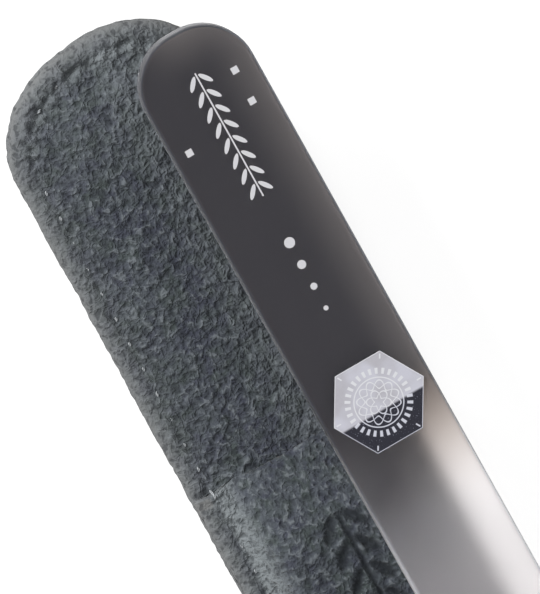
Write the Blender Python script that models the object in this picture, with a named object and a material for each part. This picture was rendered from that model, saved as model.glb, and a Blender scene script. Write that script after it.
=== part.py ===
# Glass nail file lying on its suede sleeve. The sleeve is a flat back with a rounded tongue,
# and a moulded pocket front that leaves the tongue bare. One lockstitch seam runs all round.
# +X runs from the tongue's round end towards the file's tip, +Z is up, and the origin is
# the middle of the sleeve's underside.

import math

import bmesh
import bpy
from mathutils import Vector

MM = 0.001

# Glass file
FILE_LENGTH = 135.0 * MM
FILE_WIDTH = 12.0 * MM
FILE_THICKNESS = 2.5 * MM
HANDLE_CORNER_RADIUS = 5.45 * MM
TIP_TAPER_LENGTH = 34.0 * MM
TIP_RADIUS = 1.7 * MM
GROUND_EDGE = 0.35 * MM

# Foil label on the handle
LABEL_ACROSS_FLATS = 8.9 * MM
LABEL_THICKNESS = 0.12 * MM
LABEL_FROM_HANDLE_END = 42.1 * MM
ADHESIVE_THICKNESS = 0.05 * MM

# Room along the sleeve, with the file put away in the pocket and its handle on the tongue
TONGUE_LENGTH = 45.7 * MM
HANDLE_TO_TONGUE_END = 2.3 * MM
TIP_CLEARANCE = 0.5 * MM

# The tongue's end is a flattened round, cut a little askew: fullness 2 is an ellipse
TONGUE_END_REACH = 9.9 * MM
TONGUE_END_FULLNESS = 2.17
TONGUE_END_SKEW = 0.07

# Layers of the sleeve
BACK_THICKNESS = 1.4 * MM
STIFFENER_THICKNESS = 0.6 * MM
LINING_THICKNESS = 1.4 * MM
FRONT_THICKNESS = 1.4 * MM
LAYER_GAP = 0.1 * MM
CUT_EDGE_ROUNDING = 0.35 * MM
PANEL_CROWN = 0.25 * MM

# Seam
SEAM_INSET = 2.0 * MM
STITCH_LENGTH = 3.0 * MM
THREAD_DIAMETER = 0.4 * MM
THREAD_CLEARANCE = 0.06 * MM
STITCH_ARCH = 0.12 * MM

# Pocket front, moulded over the file
POCKET_SIDE_CLEARANCE = 1.05 * MM
POCKET_HEIGHT_CLEARANCE = 0.3 * MM
POCKET_CORNER_RADIUS = 1.3 * MM
WALL_ANGLE = math.radians(60)
WALL_FOOT_FILLET = 0.2 * MM
LINING_SLOPE_WIDTH = 1.2 * MM

# How the file lies over the sleeve
FILE_SIDE_OFFSET = 8.94 * MM
FILE_END_OFFSET = 2.53 * MM
FILE_TURN = math.radians(0.62)
RESTING_GAP = 0.3 * MM

# Mesh fineness
ARC_STEPS = 24
FOLD_STEPS = 4
CROWN_STEPS = 4
THREAD_POINTS_PER_STITCH = 3
MIDDLE_STRIP = 2.0 * MM

# Heights of the layers, from the underside up
STIFFENER_BOTTOM = BACK_THICKNESS + LAYER_GAP
STIFFENER_TOP = STIFFENER_BOTTOM + STIFFENER_THICKNESS
LINING_MARGIN_BOTTOM = BACK_THICKNESS + LAYER_GAP
LINING_MARGIN_TOP = LINING_MARGIN_BOTTOM + LINING_THICKNESS
LINING_MIDDLE_TOP = STIFFENER_TOP + LAYER_GAP + LINING_THICKNESS
FRONT_MARGIN_BOTTOM = LINING_MARGIN_TOP + LAYER_GAP
FRONT_MARGIN_TOP = FRONT_MARGIN_BOTTOM + FRONT_THICKNESS
PLATEAU_BOTTOM = LINING_MIDDLE_TOP + PANEL_CROWN + FILE_THICKNESS + POCKET_HEIGHT_CLEARANCE
PLATEAU_TOP = PLATEAU_BOTTOM + FRONT_THICKNESS
POCKET_RISE = PLATEAU_BOTTOM - FRONT_MARGIN_BOTTOM

# Seam groove, as deep and wide as the thread needs
GROOVE_DEPTH = THREAD_DIAMETER + THREAD_CLEARANCE
GROOVE_HALF_WIDTH = THREAD_DIAMETER / 2 + THREAD_CLEARANCE
GROOVE_REACH = GROOVE_HALF_WIDTH + GROOVE_DEPTH / 2

# Middle line of the pocket's wall: a foot arc, a straight slope and a shoulder arc
FOOT_RADIUS = WALL_FOOT_FILLET + FRONT_THICKNESS / 2
SHOULDER_RADIUS = POCKET_CORNER_RADIUS + FRONT_THICKNESS / 2
FOLDS_RISE = (FOOT_RADIUS + SHOULDER_RADIUS) * (1.0 - math.cos(WALL_ANGLE))
WALL_SLOPE = (POCKET_RISE - FOLDS_RISE) / math.sin(WALL_ANGLE)
FOOT_INSET = SEAM_INSET + GROOVE_REACH
WALL_INSET = FOOT_INSET + FOOT_RADIUS * math.sin(WALL_ANGLE) + WALL_SLOPE * math.cos(WALL_ANGLE) / 2
PLATEAU_INSET = WALL_INSET + WALL_SLOPE * math.cos(WALL_ANGLE) / 2 + SHOULDER_RADIUS * math.sin(WALL_ANGLE)

# The sleeve's outline, round the pocket that holds the file
POCKET_INSET = WALL_INSET + FRONT_THICKNESS / 2
SLEEVE_RADIUS = FILE_WIDTH / 2 + POCKET_SIDE_CLEARANCE + POCKET_INSET
SLEEVE_LENGTH = HANDLE_TO_TONGUE_END + FILE_LENGTH + TIP_CLEARANCE + POCKET_INSET
FAR_CENTRE_X = SLEEVE_LENGTH / 2 - SLEEVE_RADIUS
TONGUE_CENTRE_X = TONGUE_END_REACH - SLEEVE_LENGTH / 2
MOUTH_X = TONGUE_LENGTH - SLEEVE_LENGTH / 2
CROWN_INSET = SLEEVE_RADIUS - FILE_WIDTH / 2
INNERMOST_INSET = SLEEVE_RADIUS - MIDDLE_STRIP / 2
LINING_LIFT_START = WALL_INSET - LINING_SLOPE_WIDTH / 2
LINING_LIFT_END = WALL_INSET + LINING_SLOPE_WIDTH / 2


def clear_scene():
    for old in list(bpy.data.objects):
        bpy.data.objects.remove(old, do_unlink=True)


def make_material(name, colour, roughness, metallic=0.0, transmission=0.0):
    material = bpy.data.materials.new(name)
    material.use_nodes = True
    shader = material.node_tree.nodes["Principled BSDF"]
    shader.inputs["Base Color"].default_value = (*colour, 1.0)
    shader.inputs["Roughness"].default_value = roughness
    shader.inputs["Metallic"].default_value = metallic
    shader.inputs["Transmission Weight"].default_value = transmission
    return material


def add_object(name, mesh, material, location=(0, 0, 0), parent=None):
    mesh.materials.append(material)
    mesh.shade_smooth()
    mesh.set_sharp_from_angle(angle=math.radians(35))
    piece = bpy.data.objects.new(name, mesh)
    piece.location = location
    piece.parent = parent
    bpy.context.collection.objects.link(piece)
    return piece


def mesh_from(bm, name):
    bmesh.ops.remove_doubles(bm, verts=bm.verts, dist=0.001 * MM)
    bmesh.ops.recalc_face_normals(bm, faces=bm.faces)
    mesh = bpy.data.meshes.new(name)
    bm.to_mesh(mesh)
    bm.free()
    return mesh


# Outlines

def spread(start, end, steps):
    return [start + (end - start) * i / steps for i in range(steps + 1)]


def arc(centre, radius, start, end, steps):
    return [
        (centre[0] + radius * math.cos(a), centre[1] + radius * math.sin(a))
        for a in spread(start, end, steps)
    ]


def file_outline():
    # The half on +Y is a handle corner, a straight side, a long side arc and half of the tip
    half = FILE_WIDTH / 2
    end = FILE_LENGTH / 2
    steps = ARC_STEPS // 2
    corner = (HANDLE_CORNER_RADIUS - end, half - HANDLE_CORNER_RADIUS)
    run = TIP_TAPER_LENGTH - TIP_RADIUS
    side_radius = (run**2 + half**2 - TIP_RADIUS**2) / (2 * (half - TIP_RADIUS))
    side_centre = (end - TIP_TAPER_LENGTH, half - side_radius)
    tip_angle = math.pi / 2 - math.asin(run / (side_radius - TIP_RADIUS))
    upper = arc(corner, HANDLE_CORNER_RADIUS, math.pi, math.pi / 2, steps)
    upper += arc(side_centre, side_radius, math.pi / 2, tip_angle, steps)
    upper += arc((end - TIP_RADIUS, 0.0), TIP_RADIUS, tip_angle, 0.0, steps)[1:]
    return upper + [(x, -y) for x, y in reversed(upper[:-1])]


def tongue_end(inset):
    # The tongue's end moved in by inset, from its corner on +Y round to the one on -Y
    radius = SLEEVE_RADIUS - inset
    flatter = 1.0 - TONGUE_END_REACH / SLEEVE_RADIUS
    reach = TONGUE_END_REACH - inset * (1.0 - flatter * inset / SLEEVE_RADIUS)
    points = []
    for angle in spread(0.0, math.pi, ARC_STEPS):
        across = math.cos(angle)
        along = math.sin(angle)
        powers = abs(across) ** TONGUE_END_FULLNESS + along**TONGUE_END_FULLNESS
        full = powers ** (-1.0 / TONGUE_END_FULLNESS)
        y = radius * full * across
        points.append((TONGUE_CENTRE_X - along * (reach * full + TONGUE_END_SKEW * y), y))
    return points


def sleeve_ring(inset, from_mouth):
    # The sleeve's outline moved in by inset. From the mouth, it leaves out the tongue
    radius = SLEEVE_RADIUS - inset
    far = arc((FAR_CENTRE_X, 0.0), radius, -math.pi / 2, math.pi / 2, ARC_STEPS)
    if from_mouth:
        return [(MOUTH_X, -radius)] + far + [(MOUTH_X, radius)]
    return far + tongue_end(inset)


# Heights across a panel, by the distance in from the sleeve's edge

def smooth_step(t):
    t = min(1.0, max(0.0, t))
    return t * t * (3 - 2 * t)


def crown(inset):
    # The soft swelling towards the middle of a panel
    return PANEL_CROWN * smooth_step((inset - CROWN_INSET) / (SLEEVE_RADIUS - CROWN_INSET))


def groove(inset):
    # Depth of the furrow that the seam pulls into the suede
    outside = abs(inset - SEAM_INSET) - GROOVE_HALF_WIDTH
    return GROOVE_DEPTH * (1.0 - smooth_step(outside / (GROOVE_REACH - GROOVE_HALF_WIDTH)))


def cut_edge(inset):
    # How far a cut edge is rounded off
    reach = min(inset / CUT_EDGE_ROUNDING, 1.0)
    return CUT_EDGE_ROUNDING * (1.0 - math.sqrt(1.0 - (1.0 - reach) ** 2))


def margin_insets():
    # From the cut edge to the inner side of the seam's groove
    insets = [0.0, CUT_EDGE_ROUNDING / 3, CUT_EDGE_ROUNDING]
    insets += [SEAM_INSET - GROOVE_REACH, SEAM_INSET - GROOVE_HALF_WIDTH]
    insets += [SEAM_INSET + GROOVE_HALF_WIDTH, SEAM_INSET + GROOVE_REACH]
    return insets


# Panels: a cross section of bottom and top points, swept round the sleeve's outline

def panel_mesh(name, section, from_mouth=False):
    bm = bmesh.new()
    sides = []
    for side in (0, 1):
        rings = []
        for pair in section:
            inset, z = pair[side]
            rings.append([bm.verts.new((x, y, z)) for x, y in sleeve_ring(inset, from_mouth)])
        for outer, inner in zip(rings, rings[1:]):
            bridge(bm, outer, inner, closed=not from_mouth)
        bm.faces.new(rings[-1])
        sides.append(rings)
    low, high = sides
    bridge(bm, low[0], high[0], closed=not from_mouth)
    if from_mouth:
        close_mouth(bm, low, high)
    return mesh_from(bm, name)


def bridge(bm, first, second, closed):
    count = len(first)
    for i in range(count if closed else count - 1):
        j = (i + 1) % count
        bm.faces.new((first[i], first[j], second[j], second[i]))


def close_mouth(bm, low, high):
    # The cut edge of the panel across the mouth, from one side of the sleeve to the other
    for end in (0, -1):
        for i in range(len(low) - 1):
            bm.faces.new((low[i][end], low[i + 1][end], high[i + 1][end], high[i][end]))
    bm.faces.new((low[-1][0], low[-1][-1], high[-1][-1], high[-1][0]))


def make_back_panel(suede):
    section = []
    for inset in margin_insets() + [INNERMOST_INSET]:
        bottom = cut_edge(inset) + groove(inset)
        top = BACK_THICKNESS - cut_edge(inset) / 2
        section.append(((inset, bottom), (inset, top)))
    return add_object("back_panel", panel_mesh("back_panel", section), suede)


def make_stiffener_sheet(board):
    section = [
        ((inset, STIFFENER_BOTTOM), (inset, STIFFENER_TOP))
        for inset in (LINING_LIFT_END + LAYER_GAP, INNERMOST_INSET)
    ]
    return add_object("stiffener_sheet", panel_mesh("stiffener_sheet", section), board)


def make_lining_panel(suede):
    # Flat on the back inside the seam's margin, and lifted over the stiffener further in
    lift = LINING_MIDDLE_TOP - LINING_MARGIN_TOP
    insets = margin_insets() + spread(LINING_LIFT_START, LINING_LIFT_END, FOLD_STEPS)
    insets += spread(CROWN_INSET, INNERMOST_INSET, CROWN_STEPS)
    section = []
    for inset in insets:
        swell = lift * smooth_step((inset - LINING_LIFT_START) / LINING_SLOPE_WIDTH) + crown(inset)
        bottom = LINING_MARGIN_BOTTOM + cut_edge(inset) / 2 + swell
        top = LINING_MARGIN_TOP - cut_edge(inset) - groove(inset) + swell
        section.append(((inset, bottom), (inset, top)))
    return add_object("lining_panel", panel_mesh("lining_panel", section), suede)


def moulded_wall():
    # Middle line of the pocket's wall as (inset, height, slope), from its foot to the plateau
    line = [
        (FOOT_INSET + FOOT_RADIUS * math.sin(slope), FOOT_RADIUS * (1.0 - math.cos(slope)), slope)
        for slope in spread(0.0, WALL_ANGLE, FOLD_STEPS)
    ]
    for slope in spread(WALL_ANGLE, 0.0, FOLD_STEPS * 2):
        inset = PLATEAU_INSET - SHOULDER_RADIUS * math.sin(slope)
        line.append((inset, POCKET_RISE - SHOULDER_RADIUS * (1.0 - math.cos(slope)), slope))
    return line


def make_front_panel(suede):
    middle = FRONT_MARGIN_BOTTOM + FRONT_THICKNESS / 2
    half = FRONT_THICKNESS / 2
    section = []
    for inset in margin_insets()[:-1]:
        bottom = FRONT_MARGIN_BOTTOM + cut_edge(inset) / 2
        top = FRONT_MARGIN_TOP - cut_edge(inset) - groove(inset)
        section.append(((inset, bottom), (inset, top)))
    for inset, height, slope in moulded_wall():
        across = half * math.sin(slope)
        up = half * math.cos(slope)
        section.append(((inset + across, middle + height - up), (inset - across, middle + height + up)))
    for inset in spread(PLATEAU_INSET, INNERMOST_INSET, CROWN_STEPS)[1:]:
        bottom = (inset, PLATEAU_BOTTOM + crown(inset))
        top = (inset, PLATEAU_TOP + crown(inset))
        section.append((bottom, top))
    return add_object("front_panel", panel_mesh("front_panel", section, from_mouth=True), suede)


# Lockstitch seam: one unbroken thread on each side of the sleeve

def seam_places():
    # Evenly spaced places on the seam's line, a few to each stitch, from the middle of the far end
    ring = sleeve_ring(SEAM_INSET, False)
    start = ARC_STEPS // 2
    line = [Vector(point) for point in ring[start:] + ring[: start + 1]]
    runs = [(b - a).length for a, b in zip(line, line[1:])]
    stitches = round(sum(runs) / STITCH_LENGTH)
    step = sum(runs) / (stitches * THREAD_POINTS_PER_STITCH)
    places = []
    passed = 0.0
    for first, second, run in zip(line, line[1:], runs):
        while len(places) * step < passed + run and len(places) < stitches * THREAD_POINTS_PER_STITCH:
            places.append(first.lerp(second, (len(places) * step - passed) / run))
        passed += run
    return places


def seam_points(height, arch):
    # Each stitch leaves its hole low in the groove, and arches up before it dips to the next
    points = []
    for i, place in enumerate(seam_places()):
        share = (i % THREAD_POINTS_PER_STITCH) / THREAD_POINTS_PER_STITCH
        rise = height(place.x) + arch * math.sin(math.pi * share)
        points.append((place.x, place.y, rise))
    return points


def make_thread(name, points, material):
    curve = bpy.data.curves.new(name, "CURVE")
    curve.dimensions = "3D"
    curve.bevel_depth = THREAD_DIAMETER / 2
    curve.bevel_resolution = 1
    spline = curve.splines.new("POLY")
    spline.points.add(len(points) - 1)
    for control, point in zip(spline.points, points):
        control.co = (*point, 1.0)
    spline.use_cyclic_u = True
    curve.materials.append(material)
    thread = bpy.data.objects.new(name, curve)
    bpy.context.collection.objects.link(thread)
    return thread


def make_needle_thread(material):
    # It lies in the lining's groove on the tongue, and climbs on to the pocket front at the mouth
    seat = (THREAD_DIAMETER + THREAD_CLEARANCE) / 2 - GROOVE_DEPTH
    on_tongue = LINING_MARGIN_TOP + seat
    on_pocket = FRONT_MARGIN_TOP + seat
    climb_end = MOUTH_X - STITCH_LENGTH / THREAD_POINTS_PER_STITCH - THREAD_DIAMETER

    def height(x):
        share = 1.0 + (x - climb_end) / STITCH_LENGTH
        return on_tongue + (on_pocket - on_tongue) * min(1.0, max(0.0, share))

    return make_thread("needle_thread", seam_points(height, STITCH_ARCH), material)


def make_bobbin_thread(material):
    seat = GROOVE_DEPTH - (THREAD_DIAMETER + THREAD_CLEARANCE) / 2
    return make_thread("bobbin_thread", seam_points(lambda x: seat, 0.0), material)


# Glass file and its label

def plate_mesh(name, outline, thickness):
    # A flat plate whose top and bottom lie evenly about its own origin
    bm = bmesh.new()
    face = bm.faces.new([bm.verts.new((x, y, -thickness / 2)) for x, y in outline])
    raised = bmesh.ops.extrude_face_region(bm, geom=[face])
    top = [v for v in raised["geom"] if isinstance(v, bmesh.types.BMVert)]
    bmesh.ops.translate(bm, verts=top, vec=Vector((0, 0, thickness)))
    return mesh_from(bm, name)


def make_file_carrier():
    # The file lies on the pocket front, where the front is highest under its near edge
    file_x = FILE_END_OFFSET + (FILE_LENGTH - SLEEVE_LENGTH) / 2
    near_edge = FILE_SIDE_OFFSET - FILE_WIDTH / 2 + (MOUTH_X - file_x) * math.tan(FILE_TURN)
    bottom = PLATEAU_TOP + crown(SLEEVE_RADIUS - near_edge) + RESTING_GAP
    carrier = bpy.data.objects.new("file_carrier", None)
    carrier.location = (file_x, FILE_SIDE_OFFSET, bottom + FILE_THICKNESS / 2)
    carrier.rotation_euler.z = FILE_TURN
    bpy.context.collection.objects.link(carrier)
    return carrier


def make_glass_blade(glass, carrier):
    mesh = plate_mesh("glass_blade", file_outline(), FILE_THICKNESS)
    blade = add_object("glass_blade", mesh, glass, parent=carrier)
    ground = blade.modifiers.new("ground_edge", "BEVEL")
    ground.width = GROUND_EDGE
    ground.segments = 2
    ground.limit_method = "ANGLE"
    ground.angle_limit = math.radians(60)
    return blade


def make_hexagon_label(foil, carrier):
    # Two corners point across the file, and two flat sides along it
    corner_radius = LABEL_ACROSS_FLATS / math.sqrt(3)
    sixth = math.pi / 3
    hexagon = arc((0.0, 0.0), corner_radius, math.pi / 2, math.pi / 2 + 5 * sixth, 5)
    mesh = plate_mesh("hexagon_label", hexagon, LABEL_THICKNESS)
    x = LABEL_FROM_HANDLE_END - FILE_LENGTH / 2
    z = FILE_THICKNESS / 2 + ADHESIVE_THICKNESS + LABEL_THICKNESS / 2
    return add_object("hexagon_label", mesh, foil, location=(x, 0.0, z), parent=carrier)


def main():
    clear_scene()
    suede = make_material("suede", (0.075, 0.09, 0.095), 0.95)
    board = make_material("stiffener_board", (0.22, 0.19, 0.15), 0.8)
    sewing_thread = make_material("sewing_thread", (0.30, 0.32, 0.33), 0.7)
    glass = make_material("frosted_glass", (0.70, 0.70, 0.71), 0.45, transmission=0.8)
    foil = make_material("label_foil", (0.60, 0.60, 0.66), 0.25, metallic=0.7)

    make_back_panel(suede)
    make_stiffener_sheet(board)
    make_lining_panel(suede)
    make_front_panel(suede)
    make_needle_thread(sewing_thread)
    make_bobbin_thread(sewing_thread)

    carrier = make_file_carrier()
    make_glass_blade(glass, carrier)
    make_hexagon_label(foil, carrier)


main()
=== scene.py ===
# Looks of the glass nail file on its suede sleeve: finer suede panels and stitches in the place
# of the plain solids, materials for the glass, the foil and the suede, and a white studio.
# Lengths are in metres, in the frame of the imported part.

import math

import bpy
import numpy as np
from mathutils import Matrix, Vector, noise


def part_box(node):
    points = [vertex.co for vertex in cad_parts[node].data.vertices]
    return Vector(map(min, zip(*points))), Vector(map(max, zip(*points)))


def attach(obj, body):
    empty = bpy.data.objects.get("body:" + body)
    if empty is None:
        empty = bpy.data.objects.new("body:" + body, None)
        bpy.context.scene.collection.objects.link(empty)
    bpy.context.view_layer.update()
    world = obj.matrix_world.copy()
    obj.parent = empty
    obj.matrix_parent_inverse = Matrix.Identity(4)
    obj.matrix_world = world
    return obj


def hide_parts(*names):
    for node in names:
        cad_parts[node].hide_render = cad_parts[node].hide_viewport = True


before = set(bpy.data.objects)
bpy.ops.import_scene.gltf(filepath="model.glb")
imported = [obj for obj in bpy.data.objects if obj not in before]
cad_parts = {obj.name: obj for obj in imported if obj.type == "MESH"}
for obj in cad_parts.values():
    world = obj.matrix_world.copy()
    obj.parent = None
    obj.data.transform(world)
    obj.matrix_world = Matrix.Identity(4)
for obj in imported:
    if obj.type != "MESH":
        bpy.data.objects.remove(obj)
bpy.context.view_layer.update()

MM = 0.001


def mm(*values):
    return tuple(value * MM for value in values)


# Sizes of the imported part: its nodes' boxes, and the tongue's end as the part's source has it
BACK_LOW, BACK_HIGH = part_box("back_panel")
LINING_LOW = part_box("lining_panel")[0]
FRONT_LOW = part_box("front_panel")[0]
FILE_LOW, FILE_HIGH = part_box("glass_blade")
LABEL_LOW, LABEL_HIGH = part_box("hexagon_label")
SLEEVE_RADIUS = BACK_HIGH.y
FAR_CENTRE_X = BACK_HIGH.x - SLEEVE_RADIUS
TONGUE_END_REACH = 9.9 * MM
TONGUE_END_FULLNESS = 2.17
TONGUE_END_SKEW = 0.07
TONGUE_CENTRE_X = TONGUE_END_REACH - BACK_HIGH.x
MOUTH_X = FRONT_LOW.x
PANEL_THICKNESS = BACK_HIGH.z - BACK_LOW.z
BACK_NAP_LEVEL = BACK_LOW.z + 0.06 * MM
LINING_MARGIN_TOP = LINING_LOW.z + PANEL_THICKNESS
FRONT_MARGIN_TOP = FRONT_LOW.z + PANEL_THICKNESS

# Suede panels. A pair gives where a change starts and over what length
PANEL_CROWN = 0.25 * MM
CROWN_INSET = 5.65 * MM
MIDDLE_INSET = SLEEVE_RADIUS - 0.12 * MM
LINING_RISE = 0.7 * MM
LINING_LIFT = mm(3.3, 1.2)
LINING_EASE = mm(2.6, 4.5)
CUT_EDGE_ROUNDING = 0.35 * MM
ROLLED_EDGE_REACH = 1.5 * MM
ROLLED_EDGE_DROP = 0.85 * MM
SEAM_INSET = 2.0 * MM
GROOVE_DEPTH = 0.12 * MM
GROOVE_REACH = 0.6 * MM
STITCH_LENGTH = 2.9 * MM
THREAD_DIAMETER = 0.3 * MM

# Pocket wall: a foot arc, a slope and a shoulder arc
WALL_ANGLE = math.radians(57)
FOOT_RADIUS = 0.9 * MM
SHOULDER_RADIUS = 2.0 * MM
FOOT_INSET = 2.25 * MM
PLATEAU_INSET = 6.27 * MM
POCKET_RISE = 3.65 * MM

# The empty pocket's mouth rests on the lining, and its edge is thinned and rolled over
MOUTH_SLACK_LENGTH = 10.0 * MM
MOUTH_SKIVED_LENGTH = 5.0 * MM
MOUTH_SKIVED_DEPTH = 1.0 * MM
MOUTH_SKIVED_RAMP = 1.5 * MM
MOUTH_ROLL_REACH = 0.5 * MM
MOUTH_ROLL_DROP = 0.28 * MM

# Mesh pitch of the panels, fine where the suede shows
FINE = 0.25 * MM
COARSE = 1.2 * MM
POCKET_PITCH = 1.05 * FINE
BACK_PITCH = 0.35 * MM
HIDDEN_BACK_PITCH = 2.0 * MM
HIDDEN_LINING_PITCH = 1.0 * MM
LINING_FINE_TO = MOUTH_X + 4.0 * MM
LINING_SHOWN_TO = MOUTH_X + 3.0 * MM

# Points on a cross section before they are evened out
FACE_POINTS = 400
MARGIN_POINTS = 120
FOOT_POINTS = 24
SHOULDER_POINTS = 48

# Steepest part of the front that still has the seam's groove, in radians
LEVEL_SLOPE = 0.3

# A place past every end of the part, in metres, and a number that counts as none
FAR_OFF = 1.0
TINY = 1e-6


def smooth_step(t):
    t = np.clip(t, 0.0, 1.0)
    return t * t * (3 - 2 * t)


def ramp(value, start, length):
    # 0 up to start, and then smoothly up to 1 over length
    return smooth_step((value - start) / length)


def hump(value, middle, reach):
    return np.exp(-(((value - middle) / reach) ** 2))


# Cross sections, as arrays of inset from the sleeve's edge and height


def crown(inset):
    return PANEL_CROWN * ramp(inset, CROWN_INSET, SLEEVE_RADIUS - CROWN_INSET)


def groove(inset):
    return GROOVE_DEPTH * (1.0 - smooth_step(np.abs(inset - SEAM_INSET) / GROOVE_REACH))


def rolled(distance, reach, depth):
    # How far a face lies below its level, at a distance from its rounded edge
    left = np.clip(1.0 - distance / reach, 0.0, 1.0)
    return depth * (1.0 - np.sqrt(1.0 - left**2))


def edge_drop(inset, outward):
    # The upper faces roll over at the cut edge, the lower ones are only rounded off
    if outward > 0:
        return rolled(inset, ROLLED_EDGE_REACH, ROLLED_EDGE_DROP)
    return rolled(inset, CUT_EDGE_ROUNDING, CUT_EDGE_ROUNDING)


def run_along(x, y):
    # Distance along a line of points, from the first one to each
    return np.concatenate([[0.0], np.cumsum(np.hypot(np.diff(x), np.diff(y)))])


def resample(inset, height, pitch):
    # Points along a cross section at an even pitch
    along = run_along(inset, height)
    count = max(2, int(round(along[-1] / pitch)) + 1)
    places = np.linspace(0.0, along[-1], count)
    return np.interp(places, along, inset), np.interp(places, along, height)


def rounding_insets(count):
    # Insets of points at even angles over the rounding of a cut edge
    return CUT_EDGE_ROUNDING * (1.0 - np.cos(np.linspace(0.0, math.pi / 2, count)))


EDGE_INSETS = rounding_insets(5)[:-1]


def with_edge(level, inset, height, outward):
    # A face's points, after those of its rounded edge
    inset = np.concatenate([EDGE_INSETS, inset])
    height = np.concatenate([np.full(len(EDGE_INSETS), level), height])
    return inset, height - outward * edge_drop(inset, outward)


def flat_face(level, outward, pitch, grooved, swell):
    # From the rim to the middle of a panel, with the seam's groove and its own swelling
    inset = np.linspace(CUT_EDGE_ROUNDING, MIDDLE_INSET, FACE_POINTS)
    height = level + swell(inset)
    if grooved:
        height = height - outward * groove(inset)
    return with_edge(level, *resample(inset, height, pitch), outward)


def no_swell(inset):
    return np.zeros_like(inset)


def lining_swell(inset):
    return LINING_RISE * ramp(inset, *LINING_LIFT) + crown(inset)


def eased_swell(inset):
    # The napped side of the lining bridges the stiffener's edge softly
    return LINING_RISE * ramp(inset, *LINING_EASE) + crown(inset)


def pocket_sections():
    # Underside and top of the moulded front, with as many points on each
    margin = np.linspace(CUT_EDGE_ROUNDING, FOOT_INSET, MARGIN_POINTS)
    foot = np.linspace(0.0, WALL_ANGLE, FOOT_POINTS)
    shoulder = np.linspace(WALL_ANGLE, 0.0, SHOULDER_POINTS)
    middle = np.linspace(PLATEAU_INSET, MIDDLE_INSET, MARGIN_POINTS)[1:]
    half = PANEL_THICKNESS / 2
    level = FRONT_LOW.z + half
    flat = np.zeros_like(margin)
    foot_inset = FOOT_INSET + FOOT_RADIUS * np.sin(foot)
    foot_height = FOOT_RADIUS * (1.0 - np.cos(foot))
    shoulder_inset = PLATEAU_INSET - SHOULDER_RADIUS * np.sin(shoulder)
    shoulder_height = POCKET_RISE - SHOULDER_RADIUS * (1.0 - np.cos(shoulder))
    middle_height = POCKET_RISE + crown(middle)
    line_inset = np.concatenate([margin, foot_inset, shoulder_inset, middle])
    line_height = level + np.concatenate([flat, foot_height, shoulder_height, middle_height])
    line_slope = np.concatenate([flat, foot, shoulder, np.zeros_like(middle)])
    along = run_along(line_inset, line_height)
    places = np.linspace(0.0, along[-1], int(along[-1] / POCKET_PITCH))
    lines = (line_inset, line_height, line_slope)
    inset, height, slope = (np.interp(places, along, line) for line in lines)
    sections = []
    for outward in (-1, 1):
        face_inset = inset - outward * half * np.sin(slope)
        face_height = height + outward * half * np.cos(slope)
        if outward > 0:
            face_height -= groove(face_inset) * (np.abs(slope) < LEVEL_SLOPE)
        sections.append(with_edge(level + outward * half, face_inset, face_height, outward))
    return sections


# Columns: lines that run from the sleeve's edge straight in to its middle line


def stations(start, end, fine_start, fine_end):
    # Places from start to end, close together where the suede shows
    places = [start]
    while places[-1] < end:
        here = places[-1]
        step = FINE if fine_start - COARSE <= here <= fine_end else COARSE
        places.append(here + step)
    places[-1] = end
    if places[-1] - places[-2] < FINE / 3:
        del places[-2]
    return np.array(places)


def arc_columns(centre_x, start, end, pitch):
    count = max(3, int(round(abs(end - start) * SLEEVE_RADIUS / pitch)))
    angles = np.linspace(start, end, count + 1)
    return np.column_stack([np.full_like(angles, centre_x), np.cos(angles), np.sin(angles)])


def side_columns(places, way_y):
    return np.column_stack([places, np.zeros_like(places), np.full_like(places, way_y)])


def closed_columns(fine_start, fine_end, far_pitch, near_pitch):
    # Once round the whole sleeve, from the far end, anticlockwise from above
    along = stations(TONGUE_CENTRE_X, FAR_CENTRE_X, fine_start, fine_end)
    far = arc_columns(FAR_CENTRE_X, -math.pi / 2, math.pi / 2, far_pitch)
    near = arc_columns(TONGUE_CENTRE_X, math.pi / 2, 1.5 * math.pi, near_pitch)
    return np.vstack([far, side_columns(along[::-1][1:-1], 1.0), near, side_columns(along[1:-1], -1.0)])


def mouth_columns():
    # From the mouth's corner on -Y round the far end to its corner on +Y
    rounding = rounding_insets(4)
    along = stations(MOUTH_X + rounding[-1] + FINE, FAR_CENTRE_X, -FAR_OFF, FAR_OFF)
    along = np.concatenate([MOUTH_X + rounding, along])
    far = arc_columns(FAR_CENTRE_X, -math.pi / 2, math.pi / 2, FINE)
    return np.vstack([side_columns(along[:-1], -1.0), far, side_columns(along[::-1][1:], 1.0)])


def ring_at(columns, inset):
    # The sleeve's outline moved in by inset, with the tongue's end flattened and askew
    foot_x, along, across = columns.T
    radius = SLEEVE_RADIUS - inset
    x = foot_x + along * radius
    y = across * radius
    flatter = 1.0 - TONGUE_END_REACH / SLEEVE_RADIUS
    reach = TONGUE_END_REACH - inset * (1.0 - flatter * inset / SLEEVE_RADIUS)
    powers = np.abs(across) ** TONGUE_END_FULLNESS + np.abs(along) ** TONGUE_END_FULLNESS
    full = powers ** (-1.0 / TONGUE_END_FULLNESS)
    end_y = radius * full * across
    end_x = foot_x + along * (reach * full + TONGUE_END_SKEW * end_y)
    near = along < -TINY
    return np.column_stack([np.where(near, end_x, x), np.where(near, end_y, y)])
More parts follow.
